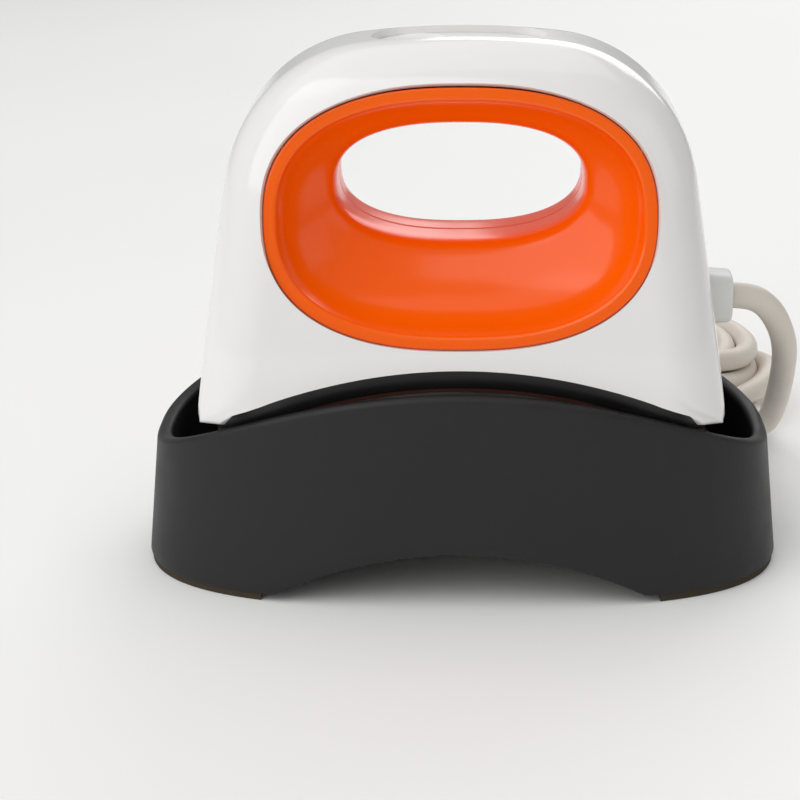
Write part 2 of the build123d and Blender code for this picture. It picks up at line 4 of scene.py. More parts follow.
import bpy
import numpy as np
from mathutils import Matrix, Vector


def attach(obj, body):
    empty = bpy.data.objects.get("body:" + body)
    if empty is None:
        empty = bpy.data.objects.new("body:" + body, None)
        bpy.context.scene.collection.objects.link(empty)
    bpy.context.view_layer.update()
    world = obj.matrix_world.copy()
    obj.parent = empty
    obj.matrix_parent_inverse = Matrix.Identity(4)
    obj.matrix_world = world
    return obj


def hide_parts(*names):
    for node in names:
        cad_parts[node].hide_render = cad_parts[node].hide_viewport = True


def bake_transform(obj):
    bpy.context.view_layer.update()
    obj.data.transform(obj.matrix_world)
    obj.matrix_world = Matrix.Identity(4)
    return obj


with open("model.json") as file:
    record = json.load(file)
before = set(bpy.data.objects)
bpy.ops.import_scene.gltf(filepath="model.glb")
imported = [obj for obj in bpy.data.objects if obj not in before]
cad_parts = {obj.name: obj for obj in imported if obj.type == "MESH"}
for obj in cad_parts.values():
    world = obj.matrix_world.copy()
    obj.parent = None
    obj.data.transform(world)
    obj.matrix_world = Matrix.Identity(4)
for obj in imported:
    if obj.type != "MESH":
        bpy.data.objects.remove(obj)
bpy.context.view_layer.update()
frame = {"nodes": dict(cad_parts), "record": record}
mm = 0.001
print("frame loaded")

# camera: long lens, almost square to the front and a little above it; place in mm, angles in degrees
cameraValues = {
    "place": (4.9, -660.4, 278.7), "azimuth": 2.13, "elevation": 19.25, "roll": -0.67,
    "lens": 97.65, "sensor": 36.0, "clipEnd": 20.0,
}


def addCamera():
    azimuth, elevation, roll = (math.radians(cameraValues[k]) for k in ("azimuth", "elevation", "roll"))
    level = math.cos(elevation)
    back = Vector((math.sin(azimuth) * level, -math.cos(azimuth) * level, math.sin(elevation)))
    right = (-back).cross(Vector((0, 0, 1))).normalized()
    up = right.cross(-back)
    turnedRight = right * math.cos(roll) + up * math.sin(roll)
    turnedUp = up * math.cos(roll) - right * math.sin(roll)
    data = bpy.data.cameras.new("camera")
    data.lens = cameraValues["lens"]
    data.sensor_width = cameraValues["sensor"]
    data.clip_end = cameraValues["clipEnd"]
    camera = bpy.data.objects.new("camera", data)
    matrix = Matrix((turnedRight, turnedUp, back)).transposed().to_4x4()
    matrix.translation = Vector(cameraValues["place"]) * mm
    camera.matrix_world = matrix
    bpy.context.scene.collection.objects.link(camera)
    bpy.context.scene.camera = camera


addCamera()
bpy.context.scene.view_settings.view_transform = "Standard"
print("camera placed")


# meshes from arrays of points in mm
def newObject(name, points, faces, smoothAngle=40):
    mesh = bpy.data.meshes.new(name)
    mesh.from_pydata((points * mm).tolist(), [], faces)
    mesh.validate()
    mesh.shade_smooth()
    mesh.set_sharp_from_angle(angle=math.radians(smoothAngle))
    piece = bpy.data.objects.new(name, mesh)
    bpy.context.scene.collection.objects.link(piece)
    return piece


def gridFaces(rows, columns, wrapRows, wrapColumns, start=0):
    # quads of a rows x columns grid of points, wrapped round where asked
    i = np.arange(rows if wrapRows else rows - 1)
    j = np.arange(columns if wrapColumns else columns - 1)
    i, j = np.meshgrid(i, j, indexing="ij")
    nextI = (i + 1) % rows
    nextJ = (j + 1) % columns
    quads = np.stack([i * columns + j, nextI * columns + j, nextI * columns + nextJ, i * columns + nextJ], -1)
    return (quads.reshape(-1, 4) + start).tolist()


def signedVolume(points, quads):
    # six times the volume inside the quads, each cut into two triangles; positive when they point outwards
    a, b, c, d = (points[np.array(quads)[:, k]] for k in range(4))
    return np.einsum("ij,ij->i", a, np.cross(b, c)).sum() + np.einsum("ij,ij->i", a, np.cross(c, d)).sum()


def closedPiece(name, grids, smoothAngle=40):
    # each grid is its points, whether its rows and its columns wrap, and whether its end rows are capped
    allPoints, allFaces, count = [], [], 0
    for grid, wrapRows, wrapColumns, capRows in grids:
        rows, columns = grid.shape[:2]
        faces = gridFaces(rows, columns, wrapRows, wrapColumns)
        flat = grid.reshape(-1, 3)
        flipped = signedVolume(flat - flat.mean(0), faces) < 0
        if capRows:
            faces.append(list(range(columns)))
            faces.append([(rows - 1) * columns + k for k in range(columns)][::-1])
        if flipped:
            faces = [f[::-1] for f in faces]
        allPoints.append(flat)
        allFaces += [[v + count for v in f] for f in faces]
        count += len(flat)
    return newObject(name, np.concatenate(allPoints), allFaces, smoothAngle)


def superellipse(t, halfWidth, halfHeight, power):
    # |x/a|^n + |y/b|^n = 1 at angle t
    stretch = (np.abs(np.cos(t)) ** power + np.abs(np.sin(t)) ** power) ** (-1 / power)
    return halfWidth * np.cos(t) * stretch, halfHeight * np.sin(t) * stretch


def arcHeight(x, radius, axis):
    # height of an arch of this radius over its axis
    return axis + np.sqrt(np.maximum(radius**2 - x**2, 0))


# mains lead
cordValues = {
    "radius": 4.1, "exit": (85.2, 0.0, 83.0), "coilCenter": (63.0, 137.0), "turnStep": 24.0,
    "sides": 16, "smoothness": 8,
    "rest": (0, 70, 20), "moving": (0, 10, 80),
    "lead": [(85.2, 0, 83), (91.2, 0, 83), (97, 1.8, 79.2), (102, 7.5, 71.2), (106, 18, 59), (108, 40, 39),
             (109, 64, 20.5), (109.5, 90, 6.2), (106.5, 116, 5.6), (103, 139, 6)],
    # angle round the coil, distance from its centre, height: three turns up the inside, two down the outside
    "coil": [(20, 36.9, 5.7), (280, 36.9, 5.7), (340, 36.9, 14.0), (640, 36.9, 14.0), (700, 36.9, 22.3),
             (1000, 36.9, 22.3), (1030, 41, 26.8), (1060, 45.6, 22.3), (1360, 45.6, 22.3), (1420, 45.6, 14.0),
             (1720, 45.6, 14.0), (1750, 51.8, 12.6), (1780, 54, 14.3), (1800, 54.3, 14.3), (1832, 55, 7.6),
             (1862, 52, 6.0), (1890, 47.5, 5.9), (1925, 45.8, 5.9)],
    "tail": [(31.2, 169.3, 6.0), (17.0, 153.5, 5.6), (3.5, 139.5, 6.2), (-14.0, 132.0, 9.0)],
}


def coilPoints():
    knots = np.array(cordValues["coil"], float)
    angle = np.arange(knots[0, 0], knots[-1, 0] + 1, cordValues["turnStep"])
    # the curve passes inside its points, so they stand out by as much
    grow = 8 / (6 + 2 * math.cos(math.radians(cordValues["turnStep"])))
    radius = np.interp(angle, knots[:, 0], knots[:, 1]) * grow
    height = np.interp(angle, knots[:, 0], knots[:, 2])
    x, y = cordValues["coilCenter"]
    t = np.radians(angle)
    return np.stack([x + radius * np.cos(t), y + radius * np.sin(t), height], 1)


def cordLine():
    route = np.concatenate([np.array(cordValues["lead"], float), coilPoints(),
                            np.array(cordValues["tail"], float)])
    curve = bpy.data.curves.new("cordLine", "CURVE")
    curve.dimensions = "3D"
    spline = curve.splines.new("NURBS")
    spline.points.add(len(route) - 1)
    spline.points.foreach_set("co", np.c_[route * mm, np.ones(len(route))].astype(np.float32).ravel())
    spline.order_u = 3
    spline.use_endpoint_u = True
    spline.resolution_u = cordValues["smoothness"]
    line = bpy.data.objects.new("cordLine", curve)
    mesh = bpy.data.meshes.new_from_object(line)
    points = np.empty(len(mesh.vertices) * 3, np.float32)
    mesh.vertices.foreach_get("co", points)
    bpy.data.objects.remove(line)
    bpy.data.meshes.remove(mesh)
    return points.reshape(-1, 3).astype(float) / mm


def tubeGrid(line, radius, sides):
    # circles across the line, kept from twisting by carrying one side vector along it
    along = np.gradient(line, axis=0)
    along /= np.linalg.norm(along, axis=1)[:, None]
    side = np.cross(along[0], (0.0, 1.0, 0.2))
    sideways = []
    for direction in along:
        side = side - direction * side.dot(direction)
        side /= np.linalg.norm(side)
        sideways.append(side)
    sideways = np.array(sideways)
    other = np.cross(along, sideways)
    t = np.linspace(0, 2 * np.pi, sides, endpoint=False)
    radii = np.broadcast_to(np.asarray(radius, float), (len(line),))[:, None, None]
    ring = sideways[:, None] * np.cos(t)[None, :, None] + other[:, None] * np.sin(t)[None, :, None]
    return line[:, None] + ring * radii


def makeCord():
    line = cordLine()
    cord = closedPiece("mainsCord", [(tubeGrid(line, cordValues["radius"], cordValues["sides"]),
                                      False, True, True)])
    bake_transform(cord)
    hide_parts("power_cord", "cord_coil", "cord_tail")
    return cord


cordPiece = makeCord()
print("cord made")


# cradle: one leaning wall and one arched deck
cradleValues = {
    "halfWidth": 101.5, "halfDepth": 56.5, "draftX": 0.100, "draftY": 0.078, "power": 2.78, "wall": 4.9,
    "rimHeight": 66.5, "rimRadius": 200.0, "rimRound": 1.9, "archHeight": 17.2, "archRadius": 118.0,
    "bottom": 2.3, "baseRound": 0.5, "wallRows": 10, "roundRows": 7, "around": 288,
    # where rows lie up the outside, as shares of the height, and down the inside
    "outsideSpan": (0.08, 0.97), "insideParts": (0.7, 0.4, 0.0),
    # the deck: radii of its two faces, their axis, the level it meets the wall at and how far it runs in
    "deckTop": 144.5, "deckBottom": 141.5, "deckAxis": -95.5, "deckLevel": 35.0, "deckInWall": 0.4,
    "deckRows": 30, "deckStart": 0.02, "settleFrom": 40.0, "settleSteps": 12,
}


def cradlePoint(t, inset, z):
    v = cradleValues
    x, y = superellipse(t, 1.0, 1.0, v["power"])
    return x * (v["halfWidth"] - v["draftX"] * z - inset), y * (v["halfDepth"] - v["draftY"] * z - inset)


def settleHeight(t, inset, surface):
    # height where the leaning wall meets a surface z = f(x), by repeated substitution
    z = np.full_like(t, cradleValues["settleFrom"])
    for step in range(cradleValues["settleSteps"]):
        z = surface(cradlePoint(t, inset, z)[0])
    return z


def rimSurface(x):
    v = cradleValues
    return arcHeight(x, v["rimRadius"], v["rimHeight"] - v["rimRadius"])


def baseSurface(x):
    v = cradleValues
    arch = arcHeight(x, v["archRadius"], v["archHeight"] - v["archRadius"])
    return np.maximum(arch, v["bottom"])


def cradleShell():
    v = cradleValues
    t = np.linspace(0, 2 * np.pi, v["around"], endpoint=False)
    rim = settleHeight(t, 0, rimSurface)
    base = settleHeight(t, 0, baseSurface)
    rows = []

    def add(inset, z):
        x, y = cradlePoint(t, inset, z)
        rows.append(np.stack([x, y, z + 0 * x], 1))

    soft, edge = v["rimRound"], v["baseRound"]
    for turn in np.radians((0, 45, 90)):
        add(edge * (1 - np.sin(turn)), base + edge * (1 - np.cos(turn)))
    for part in np.linspace(*v["outsideSpan"], v["wallRows"]):
        add(0, base + edge + (rim - soft - base - edge) * part)
    for turn in np.radians(np.linspace(0, 90, v["roundRows"])):
        add(soft * (1 - np.cos(turn)), rim - soft + soft * np.sin(turn))
    for turn in np.radians(np.linspace(90, 0, v["roundRows"])):
        add(v["wall"] - soft * (1 - np.cos(turn)), rim - soft + soft * np.sin(turn))
    for part in v["insideParts"]:
        add(v["wall"], base + edge + (rim - soft - base - edge) * part)
    wall = np.array(rows)
    deckX, deckY = cradlePoint(t, v["wall"] - v["deckInWall"], v["deckLevel"])
    top, bottom = [], []
    for part in np.linspace(v["deckStart"], 1.0, v["deckRows"]):
        x, y = deckX * part, deckY * part
        for radius, out in ((v["deckTop"], top), (v["deckBottom"], bottom)):
            out.append(np.stack([x, y, arcHeight(x, radius, v["deckAxis"])], 1))
    deck = np.array(top + bottom[::-1])
    piece = closedPiece("cradleWall", [(wall, True, True, False), (deck, False, True, True)],
                        smoothAngle=50)
    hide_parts("cradle_shell")
    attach(piece, "cradle")
    return piece


cradlePiece = cradleShell()
print("cradle made")


# press body: two shells that meet at the middle
bodyValues = {
    "halfWidth": 79.2, "widthLevel": 54.0, "sideLean": 8.04, "crest": 164.6, "crestRadius": 260.0,
    "shoulder": 45.0, "halfDepth": 42.5, "bendLevel": 75.0, "faceLean": 11.31, "bendRadius": 80.0,
    "edgeRound": 16.0, "wall": 2.4, "seam": 0.07, "archRadius": 168.0, "archAxis": -95.5,
    "ringWidth": 58.6, "ringHeight": 38.2, "ringLevel": 116.5, "ringPower": 2.45, "ringGap": 0.12,
    "topSteps": 200, "lowSteps": 90, "levels": 60, "sideRows": 5, "sideStart": 0.8,
    "shoulderFrom": 110.0, "solveSteps": 40, "farthest": 160.0, "searchSteps": 50,
    "screws": [(56.0, 141.5), (65.5, 70.5)], "boreRadius": 3.2, "boreStart": 20, "boreEnd": 60,
    "bossRadius": 4.9, "bossStart": 1.0, "bossShort": 1.2, "screwSeat": 16.0, "screwHole": 1.7,
    "boreSides": 40, "sharpAngle": 40,
}

# the slot in the crest that the control panel sits in
panelValues = {"halfLength": 27.12, "halfWidth": 10.52, "low": 150, "high": 180, "sides": 96}


def bodyHalfDepth(z):
    # upright below the bend, leaning back above it, with a soft change between them
    v = bodyValues
    slope = math.tan(math.radians(v["faceLean"]))
    run = v["bendRadius"] * slope
    start = v["bendLevel"] - run / 2
    s = np.clip(z - start, 0, run)
    return v["halfDepth"] - s**2 / (2 * v["bendRadius"]) - np.maximum(z - start - run, 0) * slope


def outlineDepth(x, z):
    # distance inside the front outline: leaning sides, arched crest, round shoulders
    v = bodyValues
    lean = math.radians(v["sideLean"])
    axis = v["crest"] - v["crestRadius"]
    width = v["halfWidth"] - (z - v["widthLevel"]) * math.tan(lean)
    toSide = (width - np.abs(x)) * math.cos(lean)
    toCrest = v["crestRadius"] - np.hypot(x, z - axis)
    centerX, centerZ = shoulderCenter()
    dx, dz = np.abs(x) - centerX, z - centerZ
    pastSide = -math.sin(lean) * dx + math.cos(lean) * dz > 0
    crestTurn = math.atan2(centerX, centerZ - axis)
    pastCrest = math.cos(crestTurn) * dx - math.sin(crestTurn) * dz > 0
    corner = v["shoulder"] - np.hypot(dx, dz)
    return np.where(pastSide & pastCrest, corner, np.minimum(toSide, toCrest))


def shoulderCenter():
    # the point that lies one shoulder radius inside both the side and the crest
    v = bodyValues
    lean = math.radians(v["sideLean"])
    axis = v["crest"] - v["crestRadius"]
    z = v["shoulderFrom"]
    for step in range(v["solveSteps"]):
        x = v["halfWidth"] - (z - v["widthLevel"]) * math.tan(lean) - v["shoulder"] / math.cos(lean)
        z = axis + math.sqrt((v["crestRadius"] - v["shoulder"]) ** 2 - x**2)
    return x, z


def bodySurface(x, z):
    # half depth of the body at a point of its front view, with its rounded edge
    v = bodyValues
    soft = v["edgeRound"]
    inside = np.clip(outlineDepth(x, z), 0, soft)
    return bodyHalfDepth(z) - soft + np.sqrt(soft**2 - (soft - inside) ** 2)


def bodyCorner():
    # where the side meets the arched lower edge
    v = bodyValues
    z = v["widthLevel"]
    for step in range(v["solveSteps"]):
        x = v["halfWidth"] - (z - v["widthLevel"]) * math.tan(math.radians(v["sideLean"]))
        z = arcHeight(x, v["archRadius"], v["archAxis"])
    return x, z


def shellPoints():
    # rays in the front view from the ring out to the outline or the lower arch, then the sides to the seam
    v = bodyValues
    gap = v["ringGap"]
    cornerX, cornerZ = bodyCorner()
    rightCorner = math.atan2((cornerZ - v["ringLevel"]) / v["ringHeight"], cornerX / v["ringWidth"])
    leftCorner = math.pi - rightCorner
    over = np.linspace(rightCorner, leftCorner, v["topSteps"])
    under = np.linspace(leftCorner, rightCorner + 2 * math.pi, v["lowSteps"] + 2)[1:-1]
    t = np.concatenate([over, under])
    ringX, ringZ = superellipse(t, v["ringWidth"] + gap, v["ringHeight"] + gap, v["ringPower"])
    length = np.hypot(ringX, ringZ)
    dirX, dirZ = ringX / length, ringZ / length
    low, high = length.copy(), np.full_like(length, v["farthest"])
    for step in range(v["searchSteps"]):
        middle = (low + high) / 2
        x, z = dirX * middle, v["ringLevel"] + dirZ * middle
        inside = (outlineDepth(x, z) > 0) & (np.hypot(x, z - v["archAxis"]) > v["archRadius"])
        low, high = np.where(inside, middle, low), np.where(inside, high, middle)
    spread = 1 - (1 - np.linspace(0, 1, v["levels"])) ** 2
    reach = length[:, None] + (low - length)[:, None] * spread[None, :]
    x = dirX[:, None] * reach
    z = v["ringLevel"] + dirZ[:, None] * reach
    y = bodySurface(x, z)
    edge = bodyHalfDepth(z[:, -1]) - v["edgeRound"]
    y[:, -1] = np.where(np.arange(len(t)) < v["topSteps"], edge, y[:, -1])
    face = np.stack([x, -y, z], -1)
    side = face[: v["topSteps"], -1][:, None, :].repeat(v["sideRows"], 1)
    side[:, :, 1] *= np.linspace(v["sideStart"], 0, v["sideRows"])[None, :]
    side[:, -1, 1] = -v["seam"]
    return face, side


def screwBores():
    # counterbores for the screws, drilled from the back
    v = bodyValues
    t = np.linspace(0, 2 * np.pi, v["boreSides"], endpoint=False)
    grids = []
    for side in (-1, 1):
        for x, z in v["screws"]:
            ringX, ringZ = side * x + v["boreRadius"] * np.cos(t), z + v["boreRadius"] * np.sin(t)
            ends = [np.stack([ringX, 0 * t + y, ringZ], 1) for y in (v["boreStart"], v["boreEnd"])]
            grids.append((np.array(ends), False, True, True))
    return closedPiece("boreCutter", grids)


def panelSlot():
    # straight-sided slot with round ends, cut down through the crest
    v = panelValues
    t = np.linspace(0, 2 * np.pi, v["sides"], endpoint=False)
    straight = np.where(np.cos(t) > 0, 1, -1) * (v["halfLength"] - v["halfWidth"])
    x, y = straight + v["halfWidth"] * np.cos(t), v["halfWidth"] * np.sin(t)
    ends = [np.stack([x, y, 0 * t + z], 1) for z in (v["low"], v["high"])]
    return closedPiece("slotCutter", [(np.array(ends), False, True, True)])


def cutAway(piece, cutters):
    # each cutter is taken out of the piece, after the modifier that gives its wall a thickness
    for cutter in cutters:
        cut = piece.modifiers.new("cut", "BOOLEAN")
        cut.operation = "DIFFERENCE"
        cut.solver = "EXACT"
        cut.object = cutter
    bpy.context.view_layer.update()
    done = bpy.data.meshes.new_from_object(piece.evaluated_get(bpy.context.evaluated_depsgraph_get()))
    piece.modifiers.clear()
    piece.data = done
    done.set_sharp_from_angle(angle=math.radians(bodyValues["sharpAngle"]))
    for cutter in cutters:
        bpy.data.objects.remove(cutter)


def bodyShell(name, node, rear):
    v = bodyValues
    face, side = shellPoints()
    count, levels = face.shape[:2]
    faces = gridFaces(count, levels, True, False)
    top, extra = side.shape[:2]
    faces += gridFaces(top, extra, False, False, start=count * levels)
    # the face's last ring joins the side's first row
    i = np.arange(top - 1)
    faceEdge, sideEdge = i * levels + levels - 1, count * levels + i * extra
    faces += np.stack([faceEdge, faceEdge + levels, sideEdge + extra, sideEdge], 1).tolist()
    points = np.concatenate([face.reshape(-1, 3), side.reshape(-1, 3)])
    if rear:
        points[:, 1] *= -1
        faces = [f[::-1] for f in faces]
    piece = newObject(name, points, faces, smoothAngle=50)
    thick = piece.modifiers.new("wall", "SOLIDIFY")
    thick.thickness = v["wall"] * mm
    thick.offset = -1
    cutAway(piece, [panelSlot(), screwBores()] if rear else [panelSlot()])
    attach(piece, "press")
    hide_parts(node)
    return piece


def screwBosses():
    # tubes behind the bores, each with a seat for its screw head
    v = bodyValues
    t = np.linspace(0, 2 * np.pi, v["boreSides"], endpoint=False)
    grids = []
    for side in (-1, 1):
        for x, z in v["screws"]:
            top = float(bodySurface(np.array(x), np.array(z))) - v["bossShort"]
            section = [(v["bossRadius"], v["bossStart"]), (v["bossRadius"], top), (v["boreRadius"], top),
                       (v["boreRadius"], v["screwSeat"]), (v["screwHole"], v["screwSeat"]),
                       (v["screwHole"], v["bossStart"])]
            rows = [np.stack([side * x + r * np.cos(t), 0 * t + y, z + r * np.sin(t)], 1) for r, y in section]
            grids.append((np.array(rows), True, True, False))
    piece = closedPiece("screwBosses", grids)
    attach(piece, "press")
    return piece


bossPiece = screwBosses()
frontShell = bodyShell("frontShell", "front_shell", False)
rearShell = bodyShell("rearShell", "rear_shell", True)
print("body shells made")


# handle insert: lip, dish and throat, one for each side
insertValues = {
    "lipWidth": 3.8, "lipProud": 0.45, "throatWidth": 37.6, "throatHeight": 18.1,
    "throatLevel": 123.0, "throatDepth": 15.0, "middle": 0.5, "fullness": 0.72, "wall": 1.6,
    "around": 220, "bowlRows": 46, "throatRows": 16, "throatStart": 1.0, "throatEnd": 0.07,
    # passes that soften the rows, and how many of them also reach the lip's inner edge
    "softening": 26, "edgeSoftening": 5,
    # rows round the lip: how far they stand out past the ring, and their place in front of the face
    "lipRows": [(0, -2.8), (0, -1.2), (0, -0.05), (-0.15, 0.3), (-0.5, 0.45)], "lipSteps": 6,
    "lipStart": 1.0, "lipEnd": 0.5,
}


def insertPoints():
    # lip on the leaning face, a dish through three outlines, then the straight throat to the middle
    v, b = insertValues, bodyValues
    lean = math.radians(b["faceLean"])
    faceY = -float(bodyHalfDepth(np.array(b["ringLevel"])))
    t = np.linspace(0, 2 * np.pi, v["around"], endpoint=False)

    def section(halfWidth, halfHeight, y, z, tilt, offset=0.0):
        u, w = superellipse(t, halfWidth, halfHeight, b["ringPower"])
        return np.stack([u, y + w * math.sin(tilt) - offset * math.cos(tilt),
                         z + w * math.cos(tilt) + offset * math.sin(tilt)], 1)

    def lipRow(grow, offset):
        return section(b["ringWidth"] + grow, b["ringHeight"] / math.cos(lean) + grow, faceY, b["ringLevel"],
                       lean, offset)

    def between(low, high):
        return low + (high - low) * v["fullness"]

    middleY = faceY + (-v["throatDepth"] - faceY) * v["middle"]
    first = lipRow(-v["lipWidth"], v["lipProud"])
    second = section(between(v["throatWidth"], b["ringWidth"] - v["lipWidth"]),
                     between(v["throatHeight"], b["ringHeight"] - v["lipWidth"]), middleY,
                     between(v["throatLevel"], b["ringLevel"]), lean / 2)
    third = section(v["throatWidth"], v["throatHeight"], -v["throatDepth"], v["throatLevel"], 0)
    rows = [lipRow(grow, offset) for grow, offset in v["lipRows"]]
    insets = np.linspace(v["lipStart"], v["lipWidth"] - v["lipEnd"], v["lipSteps"])
    rows += [lipRow(-inset, v["lipProud"]) for inset in insets]
    kept = len(rows)
    # a parabola through the three outlines
    for s in np.linspace(0, 1, v["bowlRows"]):
        start, through, finish = 2 * (s - 0.5) * (s - 1), 4 * s * (1 - s), 2 * s * (s - 0.5)
        rows.append(first * start + second * through + third * finish)
    for y in np.linspace(v["throatDepth"] - v["throatStart"], v["throatEnd"], v["throatRows"]):
        rows.append(third * (1, 0, 1) + np.array((0, -y, 0)))
    rows = np.array(rows)
    weight = np.zeros(len(rows))
    weight[kept - 1: -1] = 1
    for step in range(v["softening"]):
        mean = rows.copy()
        mean[1:-1] = (rows[:-2] + rows[2:]) / 2
        share = (weight * 0.5)[:, None, None]
        rows = rows * (1 - share) + mean * share
        weight[kept - 1: kept + 2] = 1 if step + 1 < v["edgeSoftening"] else 0
    return rows


def handleInsert(name, node, rear):
    points = insertPoints()
    rows, columns = points.shape[:2]
    faces = gridFaces(rows, columns, False, True)
    points = points.reshape(-1, 3)
    if rear:
        points = points * (1, -1, 1)
    else:
        faces = [f[::-1] for f in faces]
    piece = newObject(name, points, faces, smoothAngle=50)
    thick = piece.modifiers.new("wall", "SOLIDIFY")
    thick.thickness = insertValues["wall"] * mm
    thick.offset = -1
    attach(piece, "press")
    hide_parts(node)
    return piece


frontInsert = handleInsert("frontInsert", "insert_front", False)
rearInsert = handleInsert("rearInsert", "insert_rear", True)
print("handle inserts made")


# collar under the shells
collarValues = {
    "halfWidth": 77.1, "halfDepth": 41.2, "corner": 24.9, "axis": -95.5,
    "cornerSteps": 26, "edgeSteps": 40, "endSteps": 6,
    # inset from the outline and distance from the arch's axis, round the section
    "section": [(0.5, 161.5), (0.15, 161.65), (0, 162.0), (0, 164.7), (0, 167.5), (0.5, 168.0), (10, 168.0),
                (10, 165.4), (3, 165.4), (3, 161.5)],
}


def roundedOutline(halfWidth, halfDepth, corner, cornerSteps, edgeSteps, endSteps):
    # straight edges and quarter rounds, counter-clockwise
    t = np.linspace(0, np.pi / 2, cornerSteps)
    x, y = halfWidth - corner + corner * np.cos(t), halfDepth - corner + corner * np.sin(t)
    side = np.linspace(1, -1, edgeSteps + 2)[1:-1]
    top = np.stack([side * (halfWidth - corner), np.full(edgeSteps, halfDepth)], 1)
    end = np.linspace(1, -1, endSteps + 2)[1:-1]
    left = np.stack([np.full(endSteps, -halfWidth), end * (halfDepth - corner)], 1)
    quarter = np.stack([x, y], 1)
    half = np.concatenate([quarter, top, quarter[::-1] * (-1, 1), left])
    return np.concatenate([half, -half])


def makeCollar():
    v = collarValues
    rows = []
    for inset, radius in v["section"]:
        flat = roundedOutline(v["halfWidth"] - inset, v["halfDepth"] - inset, v["corner"] - inset,
                              v["cornerSteps"], v["edgeSteps"], v["endSteps"])
        rows.append(np.c_[flat, arcHeight(flat[:, 0], radius, v["axis"])])
    piece = closedPiece("collarBand", [(np.array(rows), True, True, False)], smoothAngle=35)
    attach(piece, "press")
    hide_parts("skirt_collar")
    return piece


collarPiece = makeCollar()
print("collar made")


# gland where the lead leaves
glandValues = {
    "level": 83.0, "bore": 4.15, "boreEnds": (85.2, 67.2), "around": 72, "power": 4.2,
    # place along the lead, half depth, half height: flange, neck, tapered head with a rounded mouth
    "outside": [(67.2, 7.0, 7.0), (70.2, 7.0, 7.0), (70.4, 5.5, 5.5), (73.0, 5.5, 5.5), (73.2, 8.0, 8.5),
                (80.0, 7.6, 8.05), (83.9, 7.32, 7.74), (84.6, 7.15, 7.57), (85.0, 6.8, 7.2),
                (85.2, 6.3, 6.7)],
}


def makeGland():
    v = glandValues
    t = np.linspace(0, 2 * np.pi, v["around"], endpoint=False)
    rows = []
    for x, halfDepth, halfHeight in v["outside"]:
        y, z = superellipse(t, halfDepth, halfHeight, v["power"])
        rows.append(np.stack([0 * t + x, y, z + v["level"]], 1))
    for x in v["boreEnds"]:
        rows.append(np.stack([0 * t + x, v["bore"] * np.cos(t), v["bore"] * np.sin(t) + v["level"]], 1))
    piece = closedPiece("leadGland", [(np.array(rows), True, True, False)], smoothAngle=35)
    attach(piece, "press")
    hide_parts("cord_gland")
    return piece


glandPiece = makeGland()
print("gland made")


# materials
def socket(tree, name, way, kind, default=None):
    item = tree.interface.new_socket(name=name, in_out=way, socket_type=kind)
    if default is not None:
        item.default_value = default


def grainGroup():
    # fine moulded grain: two sizes of noise mixed; puts out a height and a 0 to 1 mask
    tree = bpy.data.node_groups.new("fineGrain", "ShaderNodeTree")
    socket(tree, "Scale", "INPUT", "NodeSocketFloat", 900.0)
    socket(tree, "Coarse", "INPUT", "NodeSocketFloat", 60.0)
    socket(tree, "Height", "OUTPUT", "NodeSocketFloat")
    socket(tree, "Mask", "OUTPUT", "NodeSocketFloat")
    nodes, links = tree.nodes, tree.links
    into, out = nodes.new("NodeGroupInput"), nodes.new("NodeGroupOutput")
    place = nodes.new("ShaderNodeTexCoord")
    fine, coarse = nodes.new("ShaderNodeTexNoise"), nodes.new("ShaderNodeTexNoise")
    fine.inputs["Detail"].default_value = 2.0
    coarse.inputs["Detail"].default_value = 4.0
    mix = nodes.new("ShaderNodeMath")
    mix.operation = "MULTIPLY_ADD"
    mix.inputs[1].default_value = 0.35
    for noise, scale in ((fine, "Scale"), (coarse, "Coarse")):
        links.new(place.outputs["Object"], noise.inputs["Vector"])
        links.new(into.outputs[scale], noise.inputs["Scale"])
    links.new(coarse.outputs["Fac"], mix.inputs[0])
    links.new(fine.outputs["Fac"], mix.inputs[2])
    links.new(mix.outputs["Value"], out.inputs["Height"])
    links.new(coarse.outputs["Fac"], out.inputs["Mask"])
    return tree


def spreadGroup():
    # turns a 0 to 1 mask into a value between two limits
    tree = bpy.data.node_groups.new("between", "ShaderNodeTree")
    socket(tree, "Mask", "INPUT", "NodeSocketFloat", 0.5)
    socket(tree, "Low", "INPUT", "NodeSocketFloat", 0.3)
    socket(tree, "High", "INPUT", "NodeSocketFloat", 0.5)
    socket(tree, "Value", "OUTPUT", "NodeSocketFloat")
    nodes, links = tree.nodes, tree.links
    into, out = nodes.new("NodeGroupInput"), nodes.new("NodeGroupOutput")
    ramp = nodes.new("ShaderNodeMapRange")
    ramp.inputs["From Min"].default_value = 0.35
    ramp.inputs["From Max"].default_value = 0.65
    links.new(into.outputs["Mask"], ramp.inputs["Value"])
    links.new(into.outputs["Low"], ramp.inputs["To Min"])
    links.new(into.outputs["High"], ramp.inputs["To Max"])
    links.new(ramp.outputs["Result"], out.inputs["Value"])
    return tree


fineGrain, between = grainGroup(), spreadGroup()


def srgb(text):
    # hex colour as the linear values a shader takes
    values = [int(text[i:i + 2], 16) / 255 for i in (1, 3, 5)]
    return tuple(c / 12.92 if c < 0.04045 else ((c + 0.055) / 1.055) ** 2.4 for c in values) + (1.0,)


